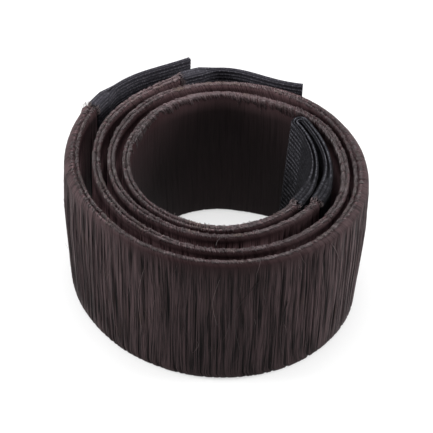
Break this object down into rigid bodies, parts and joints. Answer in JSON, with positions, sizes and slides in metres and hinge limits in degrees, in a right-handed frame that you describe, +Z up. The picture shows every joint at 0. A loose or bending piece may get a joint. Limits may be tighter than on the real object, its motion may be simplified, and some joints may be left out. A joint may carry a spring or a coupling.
{
  "type": "hair donut bun maker, rolled up into a coil",
  "caption": "Flexible hair-covered half-bands with black ribbed ribbon at their ends, rolled into an open coil that stands on its edge; a ponytail is wound on them into a bun.",
  "frame": {"origin": "on the ground under the middle of the coil, on the axis of its open hole", "axes": "+Z up along the coil's axis, which is across the half-bands' width; +X to the right of the picture; -Y towards the picture's viewer"},
  "size_m": [0.087, 0.0901, 0.0455],
  "materials": {
    "hair": "dark brown synthetic hair wound across the band, with a soft sheen and paler strands on the rims",
    "ribbon": "matte black ribbed elastic ribbon"
  },
  "bodies": {
    "root": {"inner_band": "hair", "outer_band": "hair", "inner_sleeve": "ribbon", "outer_tab": "ribbon", "inner_tab": "ribbon"}
  },
  "joints": []
}
